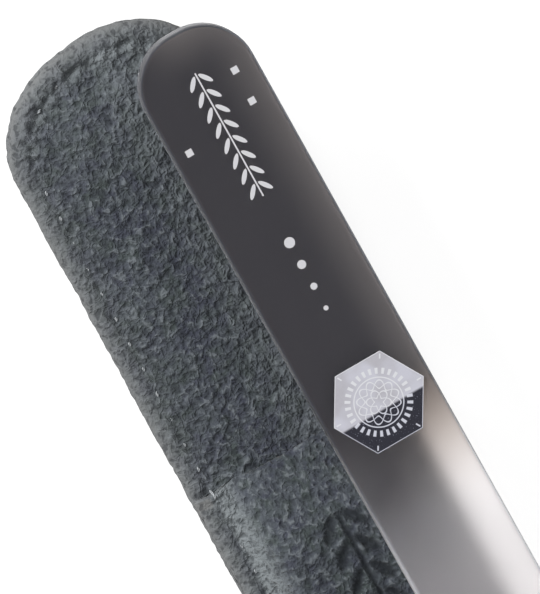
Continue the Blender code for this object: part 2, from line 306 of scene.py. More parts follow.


# Nap, wrinkles, wear, and painted light and shade

# A pair gives the height and the size of waves, or where a change starts and over what length
NAP_HEIGHT = 0.13 * MM
NAP_SIZE = 0.9 * MM
FOLDS = mm(0.10, 2.4)
NAP_ON_RIM = 0.6
RIM_WIDTH = 0.4 * MM
ROUND_END_FADE = 3.0 * MM
WRINKLE_HEIGHT = 0.26 * MM
WRINKLE_SIZE = 1.5 * MM
WRINKLE_BAND = 1.5 * MM
WRINKLE_LAYER = 9.0 * MM
PULLED_DEPTH = 0.07 * MM
PULLED_BAND = 0.3 * MM
EDGE_STANDS_OUT = 0.06 * MM
EDGE_WAVES = mm(0.06, 5.0)
EDGE_FRAYING = mm(0.07, 0.6)
EDGE_WANDER_REACH = 1.6 * MM
MOUTH_STANDS_OUT = 0.1 * MM
MOUTH_WAVES = mm(0.30, 3.0)
MOUTH_FRAYING = mm(0.12, 0.6)
CUT_EDGE_REACH = 1.0 * MM
# Paler nap along the cut edge and up the front's wall: wear, and a painted highlight where these faces turn
# towards the light
RIM_RUBBED_AND_LIT = 0.6
FRONT_RIM_RUBBED_AND_LIT = 0.75
RIM_RUBBED_AND_LIT_REACH = 2.0 * MM
WALL_RUBBED_AND_LIT = 1.42
WALL_RUBBED_AND_LIT_START = mm(1.75, 0.35)
WALL_RUBBED_AND_LIT_END = mm(2.3, 2.9)
CORNER_START = mm(0.0, 0.3)
CORNER_END = mm(1.1, 0.5)
CORNER_INNER_END = mm(1.3, 0.4)
CORNER_CUT_EDGE = 1.3
# Painted light beside the file and towards the tongue's round end, and a painted highlight on the lips of
# the crease
PAINTED_LIGHT_BESIDE_FILE = 0.42
PAINTED_LIGHT_BESIDE_START = mm(-1.5, 4.0)
PAINTED_LIGHT_AT_END = 0.17
PAINTED_LIGHT_AT_END_START = mm(-8.0, 10.0)
PAINTED_HIGHLIGHT_LIPS = 0.45
CREASE_LIPS = 2.4 * MM
LIPS_WIDTH = 0.6 * MM
# Painted shadow on the lining's margin under the front's edge at the mouth
MOUTH_SHADE = 0.8
MOUTH_SHADE_AT = -0.15 * MM
MOUTH_SHADE_WIDTH = 0.28 * MM
MOUTH_SHADE_START = mm(0.0, 0.4)
MOUTH_SHADE_END = mm(1.5, 0.8)
COVERED_START = mm(-0.2, 0.8)
HANDLED_SHADE = 0.10
HANDLED_START = mm(4.5, 2.0)

# The sprig pressed into the front: leaves of a half length and a half width, beside a stem
LEAF_LEAN = math.radians(38)
PRESSED_DEPTH = 0.30 * MM
PRESSED_FROM = MOUTH_X + 7.0 * MM
PRESSED_TO = MOUTH_X + 31.0 * MM
PRESSED_FADE = 0.4 * MM
PRESSED_PITCH = 3.0 * MM
PRESSED_LEAF = mm(1.5, 0.52)
PRESSED_LEAF_FROM_STEM = 1.45 * MM
PRESSED_LEAF_RIM = (0.75, 0.6)
PRESSED_STEM_RIM = mm(0.15, 0.3)


# Noise, worked out point by point so that it is the same in each run


def cloud(points, size, octaves, offset):
    # offset picks another part of the noise
    shift = Vector((offset, 2 * offset, -offset))
    scale = 1.0 / size
    values = [noise.fractal(Vector(p) * scale + shift, 1.0, 2.0, octaves) for p in points]
    return np.array(values)


def waves(points, height, size, offset):
    return height * cloud(points, size, 2, offset)


def round_end_share(x):
    # 1 round the tongue's end, fading to 0 where the straight sides begin
    return ramp(TONGUE_CENTRE_X - x, 0.0, ROUND_END_FADE)


def wrinkles(points, inset_of):
    # Short folds beside the seam, where the round end was bent to shape
    band = hump(inset_of, SEAM_INSET, WRINKLE_BAND) * round_end_share(points[:, 0])
    flattened = points * np.array([1.0, 1.0, 0.0]) + np.array([0.0, 0.0, WRINKLE_LAYER])
    ridges = 1.0 - 2.0 * np.abs(cloud(flattened, WRINKLE_SIZE, 2, 8.3))
    pulled = hump(inset_of, SEAM_INSET, PULLED_BAND)
    return (WRINKLE_HEIGHT * ridges - PULLED_DEPTH * pulled) * band


def edge_wander(points):
    # A hand-cut edge: long soft waves, a little fraying and the nap that stands out
    long_waves = waves(points, *EDGE_WAVES, 3.1)
    return EDGE_STANDS_OUT + long_waves + waves(points, *EDGE_FRAYING, 7.7)


def build_panel(columns, sections, closed):
    # Sweeps the bottom and top cross sections over the columns
    count = len(columns)
    insets, heights = (np.concatenate(both) for both in zip(*sections))
    rings = [np.column_stack([ring_at(columns, d), np.full(count, z)]) for d, z in zip(insets, heights)]
    verts = np.vstack(rings)
    inset_of = np.repeat(insets, count)
    ways = np.column_stack([columns[:, 1:], np.zeros(count)])
    outward = np.tile(ways, (len(rings), 1))
    split = len(sections[0][0])
    here = np.arange(count if closed else count - 1)
    after = (here + 1) % count
    blocks = []

    def strip(lower, upper, flip):
        low, high = lower * count, upper * count
        quads = np.column_stack([here + low, after + low, after + high, here + high])
        blocks.append(quads[:, ::-1] if flip else quads)

    for ring in range(split - 1):
        strip(ring, ring + 1, True)
    for ring in range(split, len(rings) - 1):
        strip(ring, ring + 1, False)
    strip(0, split, False)
    faces = np.vstack(blocks).tolist()
    close_middle(faces, split - 1, columns, closed, True)
    close_middle(faces, len(rings) - 1, columns, closed, False)
    if not closed:
        close_mouth(faces, split, count)
    is_top = np.arange(len(verts)) >= split * count
    return verts, faces, inset_of, outward, is_top


def close_middle(faces, ring, columns, closed, flip):
    # The middle strip between the two sides, and one face at each round end
    count = len(columns)
    start = ring * count
    on_far = [i for i in range(count) if columns[i][0] >= FAR_CENTRE_X - TINY]
    on_near = [i for i in range(count) if columns[i][0] <= TONGUE_CENTRE_X + TINY]
    for end in [on_far] + ([on_near] if closed else []):
        loop = [start + i for i in end]
        faces.append(tuple(loop[::-1] if flip else loop))
    if closed:
        upper = list(range(on_far[-1], on_near[0] + 1))
        lower = (list(range(on_near[-1], count)) + [on_far[0]])[::-1]
    else:
        lower = list(range(0, on_far[0] + 1))[::-1]
        upper = list(range(on_far[-1], count))
    for i in range(len(upper) - 1):
        quad = (start + upper[i], start + upper[i + 1], start + lower[i + 1], start + lower[i])
        faces.append(quad[::-1] if flip else quad)


def close_mouth(faces, split, columns):
    # The cut across the mouth, between the underside's and the top's end points
    last = columns - 1
    for i in range(split - 1):
        low, low_next = i * columns, (i + 1) * columns
        high, high_next = (i + split) * columns, (i + split + 1) * columns
        faces.append((low, high, high_next, low_next))
        faces.append((low + last, low_next + last, high_next + last, high + last))
    inner_low = (split - 1) * columns
    inner_high = (2 * split - 1) * columns
    faces.append((inner_low, inner_high, inner_high + last, inner_low + last))


def vertex_normals(verts, faces):
    mesh = bpy.data.meshes.new("measure")
    mesh.from_pydata(verts, [], faces)
    normals = np.empty(len(verts) * 3, dtype=np.float32)
    mesh.vertex_normals.foreach_get("vector", normals)
    bpy.data.meshes.remove(mesh)
    return normals.reshape(-1, 3).astype(float)


def relax_mouth(verts, inset_of, is_top):
    # The moulded front sinks on to the lining towards its mouth, where nothing fills the pocket
    slack = 1.0 - ramp(verts[:, 0], MOUTH_X, MOUTH_SLACK_LENGTH)
    rise = verts[:, 2] - np.where(is_top, FRONT_MARGIN_TOP, FRONT_LOW.z)
    verts[:, 2] -= slack * np.clip(rise - eased_swell(inset_of), 0.0, None)


def round_mouth(verts, faces, inset_of, is_top):
    # The front's edge is thinned and rolls over softly at the mouth
    normals = vertex_normals(verts, faces)
    from_mouth = verts[:, 0] - MOUTH_X
    drop = rolled(from_mouth, MOUTH_ROLL_REACH, MOUTH_ROLL_DROP)
    skived = np.clip(1.0 - from_mouth / MOUTH_SKIVED_LENGTH, 0.0, 1.0)
    drop += MOUTH_SKIVED_DEPTH * skived**2 * ramp(inset_of, FOOT_INSET, MOUTH_SKIVED_RAMP)
    upright = normals * np.array([0.0, 1.0, 1.0])
    length = np.linalg.norm(upright, axis=1, keepdims=True)
    upright /= np.where(length > TINY, length, 1.0)
    verts -= upright * (drop * is_top)[:, None]
    across = verts * np.array([0.0, 1.0, 0.0])
    wander = waves(across, *MOUTH_WAVES, 4.4) + waves(across, *MOUTH_FRAYING, 6.1)
    at_edge = np.clip(1.0 - from_mouth / MOUTH_ROLL_REACH, 0.0, 1.0)
    verts[:, 0] += (MOUTH_STANDS_OUT + wander) * at_edge


def roughen(verts, faces, inset_of, outward, shown):
    # shown is 1 where the napped side lies open and 0 where another layer covers it
    normals = vertex_normals(verts, faces)
    lumps = NAP_HEIGHT * cloud(verts, NAP_SIZE, 3, 1.3)
    lift = lumps + waves(verts, *FOLDS, 5.9) + wrinkles(verts, inset_of)
    wander = edge_wander(verts) * (1.0 - ramp(inset_of, 0.0, EDGE_WANDER_REACH))
    return verts + normals * (lift * shown)[:, None] + outward * wander[:, None]


def rubbed_and_lit_share(inset_of, is_front):
    # Where the nap is paler, from wear and a painted highlight: along the cut edge, and up the wall of the
    # moulded front
    rim = (FRONT_RIM_RUBBED_AND_LIT if is_front else RIM_RUBBED_AND_LIT) * np.exp(-inset_of / RIM_RUBBED_AND_LIT_REACH)
    if not is_front:
        return rim
    wall = ramp(inset_of, *WALL_RUBBED_AND_LIT_START) * (1.0 - ramp(inset_of, *WALL_RUBBED_AND_LIT_END))
    return np.maximum(rim, WALL_RUBBED_AND_LIT * wall)


def pressed_share(verts):
    # A sprig of paired leaves pressed into the front, along the sleeve's middle
    x, side = verts[:, 0], np.abs(verts[:, 1])
    local = np.mod(x - PRESSED_FROM, PRESSED_PITCH) - PRESSED_PITCH / 2
    out = side - PRESSED_LEAF_FROM_STEM
    length = local * math.cos(LEAF_LEAN) + out * math.sin(LEAF_LEAN)
    width = out * math.cos(LEAF_LEAN) - local * math.sin(LEAF_LEAN)
    reach = np.hypot(length / PRESSED_LEAF[0], width / PRESSED_LEAF[1])
    shape = np.maximum(1.0 - ramp(reach, *PRESSED_LEAF_RIM), 1.0 - ramp(side, *PRESSED_STEM_RIM))
    inside = ramp(x, PRESSED_FROM, PRESSED_FADE) * ramp(PRESSED_TO - x, 0.0, PRESSED_FADE)
    return shape * inside


def corner_share(verts, inset_of):
    # The nap is pressed smooth on the margin, where the mouth meets the seam
    from_mouth = verts[:, 0] - MOUTH_X
    along = ramp(from_mouth, *CORNER_START) * (1.0 - ramp(from_mouth, *CORNER_END))
    return along * (1.0 - ramp(inset_of, *CORNER_INNER_END))


def painted_light_share(verts, inset_of):
    # Painted light on the tongue: paler beside the file, against the file's shade, paler towards its round
    # end, and a painted highlight on the lips of the crease there
    x, y = verts[:, 0], verts[:, 1]
    beside = PAINTED_LIGHT_BESIDE_FILE * ramp(y, *PAINTED_LIGHT_BESIDE_START)
    at_end = PAINTED_LIGHT_AT_END * ramp(TONGUE_CENTRE_X - x, *PAINTED_LIGHT_AT_END_START)
    lips = PAINTED_HIGHLIGHT_LIPS * hump(inset_of, CREASE_LIPS, LIPS_WIDTH) * round_end_share(x)
    return beside + at_end + lips


def shaded_share(verts, inset_of):
    # Painted shadow on the lining's margin, where the front's edge stands up from it at the mouth
    near = hump(verts[:, 0] - MOUTH_X, MOUTH_SHADE_AT, MOUTH_SHADE_WIDTH)
    return near * ramp(inset_of, *MOUTH_SHADE_START) * (1.0 - ramp(inset_of, *MOUTH_SHADE_END))


def unroll_under_front(verts, inset_of, is_top):
    # The lining keeps its full thickness where the front is sewn on to it
    covered = ramp(verts[:, 0] - MOUTH_X, *COVERED_START) * is_top
    verts[:, 2] += edge_drop(inset_of, 1) * covered


def add_object(name, data):
    made = bpy.data.objects.new(name, data)
    bpy.context.collection.objects.link(made)
    return made


def smooth_mesh(name, verts, faces, material):
    mesh = bpy.data.meshes.new(name)
    mesh.from_pydata(verts, [], faces)
    mesh.shade_smooth()
    mesh.materials.append(material)
    return mesh


def panel_object(name, node_name, columns, sections, closed, top_shows, shown_to, material):
    # closed is False for the front, which ends at its mouth
    verts, faces, inset_of, outward, is_top = build_panel(columns, sections, closed)
    rubbed_and_lit = rubbed_and_lit_share(inset_of, not closed)
    cut_edge = np.exp(-inset_of / CUT_EDGE_REACH)
    pressed_and_shadow = np.zeros(len(verts))
    if not closed:
        pressed_and_shadow = pressed_share(verts) * is_top * (inset_of > PLATEAU_INSET)
        verts[:, 2] -= PRESSED_DEPTH * pressed_and_shadow
        pressed_and_shadow = np.maximum(pressed_and_shadow, HANDLED_SHADE * ramp(inset_of, *HANDLED_START))
        corner = corner_share(verts, inset_of)
        rubbed_and_lit = np.maximum(rubbed_and_lit, corner)
        cut_edge = np.maximum(cut_edge, CORNER_CUT_EDGE * corner)
        relax_mouth(verts, inset_of, is_top)
        round_mouth(verts, faces, inset_of, is_top)
    elif top_shows:
        # Painted light on the tongue, and a painted shadow under the front's edge at the mouth
        rubbed_and_lit = np.maximum(rubbed_and_lit, painted_light_share(verts, inset_of))
        pressed_and_shadow = MOUTH_SHADE * shaded_share(verts, inset_of)
        unroll_under_front(verts, inset_of, is_top)
    shown = np.where(is_top == top_shows, 1.0, 0.0)
    shown = np.where(inset_of < RIM_WIDTH, NAP_ON_RIM, shown)
    shown *= verts[:, 0] < shown_to
    verts = roughen(verts, faces, inset_of, outward, shown)
    verts[:, 2] = np.maximum(verts[:, 2], BACK_LOW.z)
    mesh = smooth_mesh(name, verts, faces, material)
    # The paler layer holds wear, painted highlight and painted light; the pressed layer holds the pressed
    # sprig and, on the lining, a painted shadow
    for label, shares in (("rubbed_and_lit", rubbed_and_lit), ("pressed_and_shadow", pressed_and_shadow), ("cut_edge", cut_edge)):
        values = mesh.attributes.new(label, "FLOAT", "POINT")
        values.data.foreach_set("value", shares.astype(np.float32))
    piece = add_object(name, mesh)
    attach(piece, "sleeve")
    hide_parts(node_name)
    return piece


# Nodes of a material


def new_material(name):
    material = bpy.data.materials.new(name)
    material.use_nodes = True
    return material, material.node_tree, material.node_tree.nodes["Principled BSDF"]


def is_socket(value):
    return isinstance(value, bpy.types.NodeSocket)


def fill(made, inputs):
    # A socket is linked, and a plain value is set
    for key, value in inputs.items():
        if is_socket(value):
            made.id_data.links.new(value, made.inputs[key])
        else:
            made.inputs[key].default_value = value


def node(tree, kind, inputs=None, **settings):
    made = tree.nodes.new(kind)
    for key, value in settings.items():
        setattr(made, key, value)
    fill(made, inputs or {})
    return made


def next_node(kind, inputs, **settings):
    # A node in the tree that its inputs come from
    tree = next(value.id_data for value in inputs.values() if is_socket(value))
    return node(tree, kind, inputs, **settings)


def calc(operation, *values, clamp=False):
    inputs = dict(enumerate(values))
    return next_node("ShaderNodeMath", inputs, operation=operation, use_clamp=clamp).outputs[0]


def total(first, second):
    return calc("ADD", first, second)


def less(first, second):
    return calc("SUBTRACT", first, second)


def product(first, second):
    return calc("MULTIPLY", first, second)


def larger(first, second):
    return calc("MAXIMUM", first, second)


def size_of(value):
    return calc("ABSOLUTE", value)


def square(value):
    return calc("POWER", value, 2.0)


def hypotenuse(along, across):
    return calc("SQRT", total(square(along), square(across)))


def remap(value, low, high, to_low=0.0, to_high=1.0):
    # From to_low to to_high, smoothly, while value goes from low to high
    inputs = {"Value": value, "From Min": low, "From Max": high, "To Min": to_low, "To Max": to_high}
    return next_node("ShaderNodeMapRange", inputs, interpolation_type="SMOOTHSTEP").outputs["Result"]


def within(value, rim):
    # 1 below the rim's two values, 0 above them
    return remap(value, *rim, 1.0, 0.0)


# The mix node has one set of sockets for colours and one for numbers


def blend_colour(factor, first, second, mode="MIX"):
    inputs = {0: factor, 6: first, 7: second}
    return next_node("ShaderNodeMix", inputs, data_type="RGBA", blend_type=mode).outputs[2]


def blend_value(factor, first, second):
    return next_node("ShaderNodeMix", {0: factor, 2: first, 3: second}, data_type="FLOAT").outputs[0]


def object_place(tree):
    return node(tree, "ShaderNodeTexCoord").outputs["Object"]


def speckle(place, size, detail, roughness=0.5, distortion=0.0, shift=(0.0, 0.0, 0.0)):
    moved = next_node("ShaderNodeVectorMath", {0: place, 1: shift}, operation="ADD").outputs[0]
    inputs = {"Vector": moved, "Scale": 1.0 / size, "Detail": detail, "Roughness": roughness}
    return next_node("ShaderNodeTexNoise", {**inputs, "Distortion": distortion}).outputs[0]


def bump(height, distance, strength=1.0):
    inputs = {"Height": height, "Distance": distance, "Strength": strength}
    return next_node("ShaderNodeBump", inputs).outputs[0]


def srgb(red, green, blue):
    # A colour as read from a photograph, 0 to 255, as linear light
    def linear(value):
        share = value / 255.0
        return share / 12.92 if share <= 0.04045 else ((share + 0.055) / 1.055) ** 2.4

    return linear(red), linear(green), linear(blue), 1.0


SUEDE_BLUE = srgb(70, 73, 84)
SUEDE_GREEN = srgb(70, 77, 77)
SUEDE_PALE = srgb(82, 87, 93)
# Painted shade in the nap's hollows and a painted highlight on its tips, in place of the relief's own light
# and shade
SUEDE_DEEP_SHADE = srgb(40, 43, 48)
SUEDE_TIPS_HIGHLIGHT = srgb(134, 140, 145)
# Pressed nap of the sprig, also used as a painted shadow at the mouth
SUEDE_PRESSED_AND_SHADOW = srgb(40, 43, 47)
# Paler nap where it is worn, with painted highlight and painted light
RUBBED_AND_LIT_TIPS = srgb(132, 138, 141)
RUBBED_AND_LIT_DEEP = srgb(98, 103, 106)
CUT_TIPS = srgb(125, 126, 126)
CUT_DEEP = srgb(94, 95, 96)
PATCH_SIZE = 2.2 * MM
MOTTLE_SIZE = 1.0 * MM
LUMP_SIZE = 0.68 * MM
GRAIN_SIZE = 0.32 * MM
TUFT_SIZE = 1.05 * MM
PATCH_RANGE = (0.42, 0.58)
MOTTLE_RANGE = (0.3, 0.7)
LUMP_RANGE = (0.2, 0.8)
TUFT_RANGE = (0.0, 0.16)
DEEP_RANGE = (0.22, 0.48)
TIPS_RANGE = (0.58, 0.84)
LUMP_SHARE = 0.66
TUFT_SHARE = 0.20
GRAIN_SHARE = 0.14
DEEP_SHARE = 0.5
TIPS_SHARE = 0.5
LAYER_SHARE = 0.8
PRESSED_FLAT = 0.6
CUT_EDGE_FLAT = 0.5
SUEDE_RELIEF = 0.36 * MM


def tufts(place, size, shift):
    # Short winding ridges, as the fibres of napped leather lie
    field = speckle(place, size, detail=1.0, distortion=0.7, shift=shift)
    return within(size_of(less(field, 0.5)), TUFT_RANGE)


def painted_share(tree, label):
    return node(tree, "ShaderNodeAttribute", attribute_name=label).outputs["Fac"]


def suede_material():
    material, tree, shader = new_material("napped_suede")
    place = object_place(tree)
    rubbed_and_lit, pressed_and_shadow, cut_edge = (painted_share(tree, label) for label in ("rubbed_and_lit", "pressed_and_shadow", "cut_edge"))
    patches = speckle(place, PATCH_SIZE, detail=1.5)
    mottle = speckle(place, MOTTLE_SIZE, detail=2.0, distortion=0.4, shift=(3.1, 0.0, 0.0))
    lumps = speckle(place, LUMP_SIZE, detail=2.0, distortion=0.35, shift=(0.0, 5.2, 0.0))
    grain = speckle(place, GRAIN_SIZE, detail=1.0, distortion=0.3, shift=(4.4, 5.2, 0.0))
    curls = tufts(place, TUFT_SIZE, (0.0, 0.0, 1.7))
    height = product(remap(lumps, *LUMP_RANGE), LUMP_SHARE)
    height = total(height, product(curls, TUFT_SHARE))
    height = total(height, product(grain, GRAIN_SHARE))

    colour = blend_colour(remap(patches, *PATCH_RANGE), SUEDE_BLUE, SUEDE_GREEN)
    colour = blend_colour(remap(mottle, *MOTTLE_RANGE), colour, SUEDE_PALE)
    # The hollows get painted shade and the tips a painted highlight; the paler layer is wear with painted
    # highlight and light, and the pressed layer also holds a painted shadow
    deep = within(height, DEEP_RANGE)
    layers = (
        (deep, DEEP_SHARE, SUEDE_DEEP_SHADE),
        (remap(height, *TIPS_RANGE), TIPS_SHARE, SUEDE_TIPS_HIGHLIGHT),
        (rubbed_and_lit, LAYER_SHARE, blend_colour(deep, RUBBED_AND_LIT_TIPS, RUBBED_AND_LIT_DEEP)),
        (cut_edge, LAYER_SHARE, blend_colour(deep, CUT_TIPS, CUT_DEEP)),
        (pressed_and_shadow, LAYER_SHARE, SUEDE_PRESSED_AND_SHADOW),
    )
    for place_share, strength, tone in layers:
        colour = blend_colour(product(place_share, strength), colour, tone)

    flat = larger(product(pressed_and_shadow, PRESSED_FLAT), product(cut_edge, CUT_EDGE_FLAT))
    height = product(height, less(1.0, flat))
    finish = {"Base Color": colour, "Normal": bump(height, SUEDE_RELIEF), "Roughness": 0.95}
    sheen = {"Specular IOR Level": 0.1, "Sheen Weight": 0.12, "Sheen Roughness": 0.5}
    fill(shader, {**finish, **sheen})
    return material


THREAD_TONES = (srgb(140, 145, 148), srgb(198, 201, 204))
FUZZ_SIZE = 0.12 * MM
FUZZ_RANGE = (0.3, 0.7)
THREAD_RELIEF = 0.03 * MM
BOARD_TONES = ((0.17, 0.145, 0.11, 1.0), (0.27, 0.235, 0.19, 1.0))
FIBRE_SIZE = 0.6 * MM
BOARD_RELIEF = 0.02 * MM


def thread_material():
    material, tree, shader = new_material("spun_thread")
    fuzz = speckle(object_place(tree), FUZZ_SIZE, detail=2.0, roughness=0.6)
    colour = blend_colour(remap(fuzz, *FUZZ_RANGE), *THREAD_TONES)
    relief = bump(fuzz, THREAD_RELIEF, strength=0.6)
    fill(shader, {"Base Color": colour, "Normal": relief, "Roughness": 0.7})
    return material


def board_material():
    material, tree, shader = new_material("pressed_board")
    fibres = speckle(object_place(tree), FIBRE_SIZE, detail=3.0, roughness=0.6)
    colour = blend_colour(fibres, *BOARD_TONES)
    relief = bump(fibres, BOARD_RELIEF, strength=0.5)
    fill(shader, {"Base Color": colour, "Normal": relief, "Roughness": 0.85})
    return material


# Glass: frosted all over, with lacquer on its underside and print on its top

# A pair gives where a change starts and ends, from the handle's end or across from the middle
FILE_TURN = math.radians(0.62)
FILE_HALF_WIDTH = 6.0 * MM
LABEL_FROM_HANDLE_END = 42.1 * MM
LABEL_MIDDLE = (LABEL_LOW + LABEL_HIGH) / 2
UNDERSIDE_BELOW = FILE_LOW.z + 0.1 * MM
TOP_ABOVE = FILE_HIGH.z - 0.05 * MM
FROST_SIZE = 0.12 * MM
FROST_RELIEF = 0.004 * MM
CLEAR_TINTS = ((1.0, 0.955, 0.955, 1.0), (1.0, 0.975, 0.975, 1.0))
LACQUER_FADE = mm(40.6, 55.5)
LACQUER_POWERS = {"Red": 1.95, "Green": 2.12, "Blue": 2.28}
LACQUER_SHEEN = 0.45
TINT_FADE = mm(46.0, 58.0)
TOP_TINTS = ((0.94, 0.86, 0.82, 1.0), (1.0, 0.975, 0.985, 1.0))
SIDE_TINTS = ((0.78, 0.81, 0.89, 1.0), (0.92, 0.93, 0.97, 1.0))
SHEEN_TINT = (0.60, 0.61, 0.74, 1.0)
ROUGHNESS_FADE = mm(42.0, 56.0)
LACQUERED_ROUGHNESS = 0.42
CLEAR_ROUGHNESS = 0.50

# Mist: the share of light that the frosted faces scatter back by themselves
MIST_FADE = mm(47.0, 64.0)
MIST_BELOW = 0.34
MIST_ABOVE = 0.008
MIST_SIDES = 0.03
# Painted light: the sides scatter more on the side that lies clear of the sleeve, and a painted glow runs
# along that edge
MIST_AND_GLOW_FREE_SIDE = 0.16
FREE_SIDE = mm(4.0, 5.5)
EDGE_GLOW = 0.11
EDGE_GLOW_REACH = 4.6 * MM
EDGE_GLOW_POWER = 1.5
END_GLOW_FADE = mm(-4.5, 1.0)

# Print
PRINT_COLOUR = srgb(226, 226, 230)
PRINT_SOFTNESS = 0.04 * MM
OVAL_RIM = (0.85, 1.15)
SPRIG_FROM = 4.4 * MM
SPRIG_TO = 18.4 * MM
LEAF_PITCH = 1.75 * MM
LEAF_FROM_STEM = 0.72 * MM
PRINTED_LEAF = mm(0.80, 0.24)
STEM_RIM = mm(0.05, 0.10)
DOTS_FROM = 22.5 * MM
DOT_PITCH = 2.5 * MM
DOT_COUNT = 4
DOT_RADIUS = 0.55 * MM
DOT_SHRINKS = 0.1 * MM
SQUARES = (mm(6.1, 3.6), mm(9.6, 3.6), mm(11.0, -4.3))
SQUARE_RIM = mm(0.32, 0.40)


def file_place(tree):
    # Places along and across the file from the label's middle, and heights in the part's frame
    centre = (LABEL_MIDDLE.x, LABEL_MIDDLE.y, 0.0)
    centred = next_node("ShaderNodeVectorMath", {0: object_place(tree), 1: centre}, operation="SUBTRACT")
    turned = next_node("ShaderNodeVectorRotate", {"Vector": centred.outputs[0], "Angle": -FILE_TURN})
    split = next_node("ShaderNodeSeparateXYZ", {0: turned.outputs[0]})
    return turned.outputs[0], split.outputs["X"], split.outputs["Y"], split.outputs["Z"]


def between(value, low, high):
    # 1 inside the range and 0 outside it
    soft = PRINT_SOFTNESS
    rising = remap(value, low - soft, low + soft)
    return product(rising, remap(value, high - soft, high + soft, 1.0, 0.0))


def oval(along, across, half_length, half_width):
    along = square(calc("DIVIDE", along, half_length))
    across = square(calc("DIVIDE", across, half_width))
    return within(total(along, across), OVAL_RIM)


def in_pitch(run, pitch):
    # Place in a repeat, from its middle
    return less(calc("FLOORED_MODULO", run, pitch), pitch / 2)


def sprig_print(from_end, across):
    # Paired leaves on a thin stem
    side = size_of(across)
    local = in_pitch(less(from_end, SPRIG_FROM), LEAF_PITCH)
    out = less(side, LEAF_FROM_STEM)
    cosine, sine = math.cos(LEAF_LEAN), math.sin(LEAF_LEAN)
    length = total(product(local, cosine), product(out, sine))
    width = less(product(out, cosine), product(local, sine))
    leaves = oval(length, width, *PRINTED_LEAF)
    shape = larger(leaves, within(side, STEM_RIM))
    return product(shape, between(from_end, SPRIG_FROM, SPRIG_TO))


def dots_print(from_end, across):
    # A row of round dots, each smaller than the one before
    run = less(from_end, DOTS_FROM)
    step = calc("FLOOR", calc("DIVIDE", run, DOT_PITCH))
    radius = less(DOT_RADIUS, product(step, DOT_SHRINKS))
    apart = hypotenuse(in_pitch(run, DOT_PITCH), across)
    dots = within(less(apart, radius), (-PRINT_SOFTNESS, PRINT_SOFTNESS))
    return product(dots, between(run, 0.0, DOT_COUNT * DOT_PITCH))


def whole_print(from_end, across):
    # The sprig, the dots and three small squares
    marks = larger(sprig_print(from_end, across), dots_print(from_end, across))
    for square_along, square_across in SQUARES:
        far_along = size_of(less(from_end, square_along))
        far_across = size_of(less(across, square_across))
        marks = larger(marks, within(larger(far_along, far_across), SQUARE_RIM))
    return marks


def edge_glow(from_end, across):
    # Painted light: a glow that the frosted edge shows on the side that lies clear of the sleeve, and at
    # the handle's end on that side
    from_side = less(FILE_HALF_WIDTH, across)
    lacks = []
    for gap in (from_side, from_end):
        lacks.append(square(larger(less(EDGE_GLOW_REACH, gap), 0.0)))
    lacks[1] = product(lacks[1], remap(across, *END_GLOW_FADE))
    near = calc("SQRT", total(*lacks))
    share = calc("DIVIDE", near, EDGE_GLOW_REACH, clamp=True)
    return product(calc("POWER", share, EDGE_GLOW_POWER), EDGE_GLOW)


def glass_material():
    material, tree, shader = new_material("etched_glass")
    place, along, across, height = file_place(tree)
    from_end = total(along, LABEL_FROM_HANDLE_END)
    below = calc("LESS_THAN", height, UNDERSIDE_BELOW)
    above = calc("GREATER_THAN", height, TOP_ABOVE)
    frost = speckle(place, FROST_SIZE, detail=2.0, roughness=0.7)

    # How much light the lacquer lets through, with a brown cast where it thins out
    through = remap(from_end, *LACQUER_FADE)
    powers = {channel: calc("POWER", through, power) for channel, power in LACQUER_POWERS.items()}
    smoke = next_node("ShaderNodeCombineColor", powers).outputs[0]
    lacquered = blend_colour(1.0, blend_colour(frost, *CLEAR_TINTS), smoke, "MULTIPLY")
    is_clear = remap(from_end, *TINT_FADE)
    upper = blend_colour(is_clear, *TOP_TINTS)
    sides = blend_colour(is_clear, *SIDE_TINTS)
    colour = blend_colour(below, blend_colour(above, sides, upper), lacquered)

    mist_below = remap(from_end, *MIST_FADE, 0.0, MIST_BELOW)
    top_glow = product(edge_glow(from_end, across), above)
    mist_and_glow_above = total(top_glow, MIST_ABOVE)
    # Painted light on the side of the file that lies clear of the sleeve
    side_mist_and_glow = remap(across, *FREE_SIDE, MIST_SIDES, MIST_AND_GLOW_FREE_SIDE)
    mist_and_glow_sides = total(mist_below, side_mist_and_glow)
    mist_and_glow = blend_value(below, blend_value(above, mist_and_glow_sides, mist_and_glow_above), mist_below)
    marks = product(whole_print(from_end, across), above)
    lacquer = product(below, less(1.0, through))
    finish = {
        "Base Color": blend_colour(marks, colour, PRINT_COLOUR),
        "Transmission Weight": product(less(1.0, mist_and_glow), less(1.0, marks)),
        "Specular IOR Level": less(0.5, product(lacquer, LACQUER_SHEEN)),
        "Specular Tint": SHEEN_TINT,
        "Normal": bump(frost, FROST_RELIEF, strength=0.4),
        "Roughness": remap(from_end, *ROUGHNESS_FADE, LACQUERED_ROUGHNESS, CLEAR_ROUGHNESS),
        "IOR": 1.5,
    }
    fill(shader, finish)
    return material


# Foil: silver and navy, with a rosette, a ring, a ring of ticks, corner ticks and a rim

